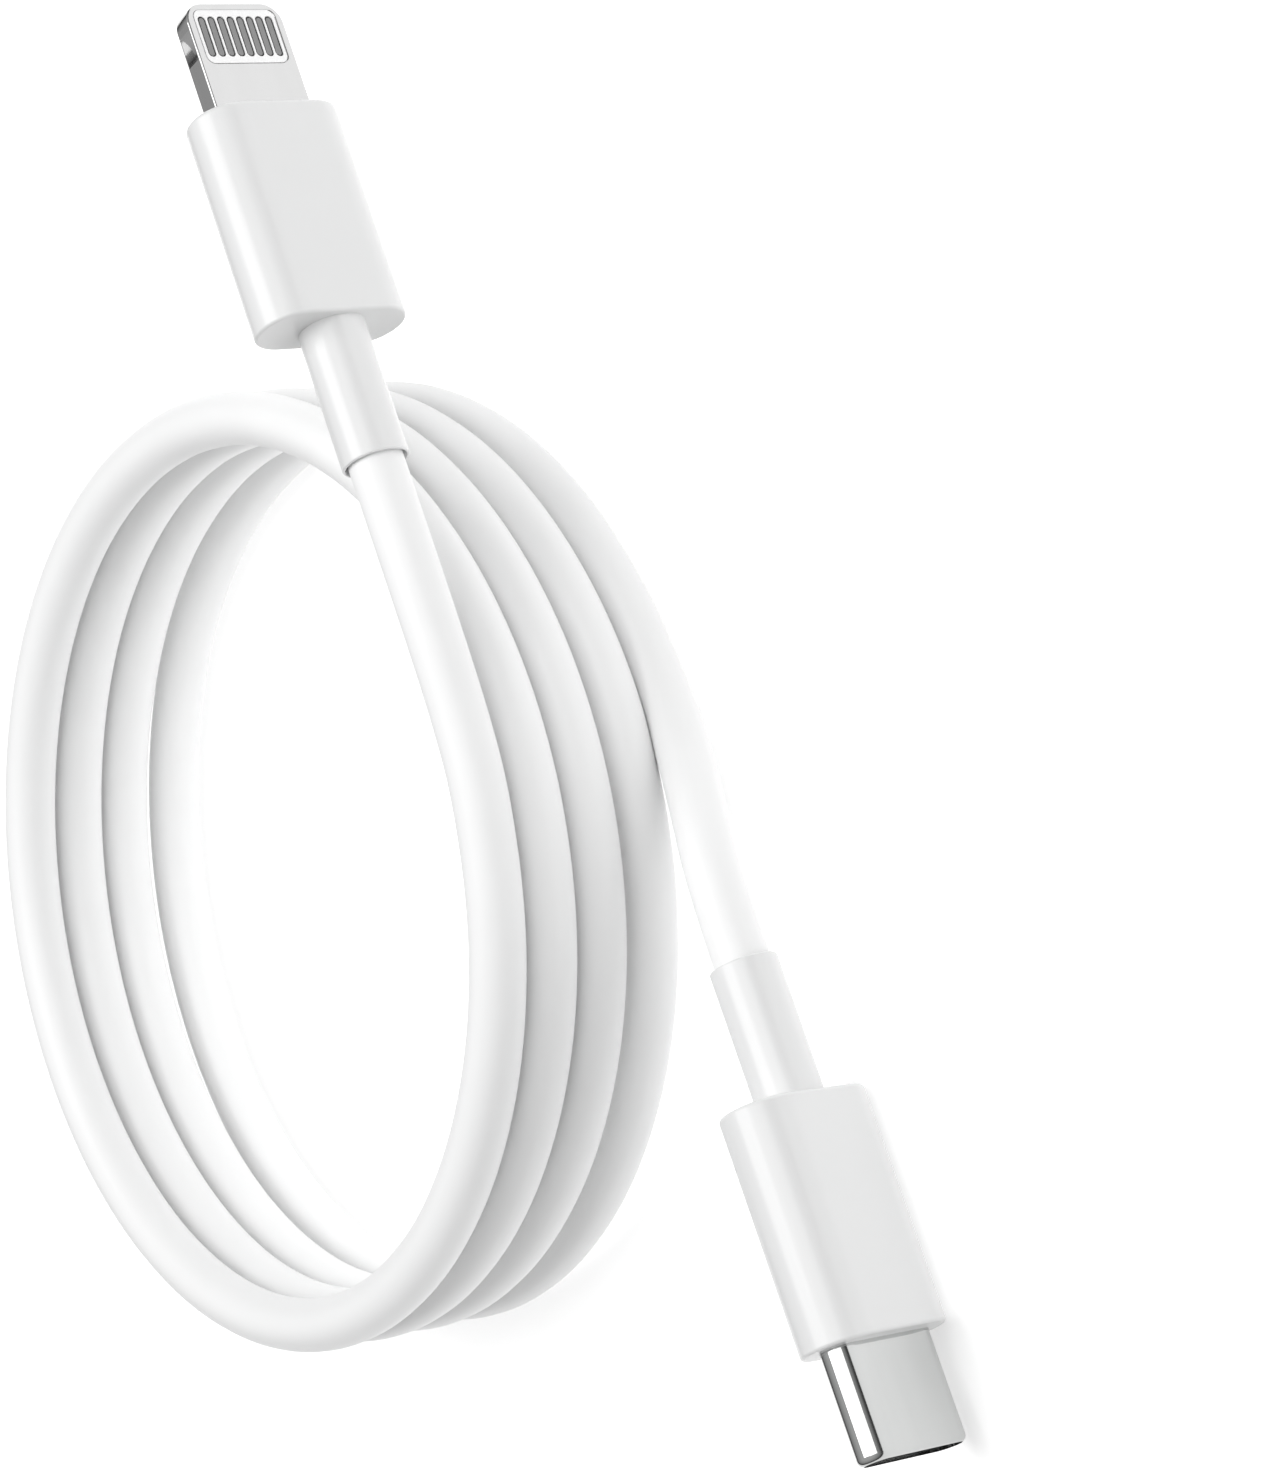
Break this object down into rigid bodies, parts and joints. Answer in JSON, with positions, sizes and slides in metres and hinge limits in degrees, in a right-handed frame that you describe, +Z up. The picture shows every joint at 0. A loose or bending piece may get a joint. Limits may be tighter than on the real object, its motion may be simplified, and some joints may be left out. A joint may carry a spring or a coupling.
{
  "type": "charging cable",
  "caption": "White charging cable wound in a flat-lying round coil, with a flat contact tab plug at one end and an oval shell plug at the other.",
  "frame": {"origin": "on the table, under the middle of the box round the two plugs (the cord's own solids left out)", "axes": "+Z up, the coil's axis; +X along both plugs' axes, the way the tab plug points; the coil lies towards +Y"},
  "size_m": [0.0934, 0.0649, 0.0222],
  "materials": {
    "housing_white": "satin",
    "cord_white": "satin",
    "insert_white": "satin",
    "polished_steel": "polished",
    "plain_steel": "satin",
    "contact_metal": "satin",
    "gold_contact": "polished",
    "carrier_plastic": "matte",
    "board_green": "matte",
    "chip_black": "matte",
    "passive_tan": "matte",
    "wire_sheath": "satin",
    "inner_plastic": "matte"
  },
  "bodies": {
    "root": {"tab_frame": "polished_steel", "tab_insert": "insert_white", "tab_contacts_front": "contact_metal", "tab_contacts_back": "contact_metal", "tab_board": "board_green", "tab_chips": "chip_black", "tab_passives": "passive_tan", "tab_wires": "wire_sheath", "tab_shield_can": "plain_steel", "tab_jacket_end": "cord_white", "tab_braid_sleeve": "plain_steel", "tab_crimp": "plain_steel", "tab_inner_mould": "inner_plastic", "tab_front_cap": "housing_white", "tab_housing": "housing_white", "tab_boot": "housing_white", "oval_shell": "polished_steel", "oval_contacts_top": "gold_contact", "oval_contacts_bottom": "gold_contact", "oval_latch_plate": "plain_steel", "oval_ground_springs": "plain_steel", "oval_contact_carrier": "carrier_plastic", "oval_board": "board_green", "oval_chip": "chip_black", "oval_passives": "passive_tan", "oval_wires": "wire_sheath", "oval_shield_can": "plain_steel", "oval_jacket_end": "cord_white", "oval_braid_sleeve": "plain_steel", "oval_crimp": "plain_steel", "oval_inner_mould": "inner_plastic", "oval_housing": "housing_white", "oval_rear_cap": "housing_white", "oval_boot": "housing_white", "tab_lead": "cord_white", "oval_lead": "cord_white", "coil": "cord_white"}
  },
  "joints": []
}
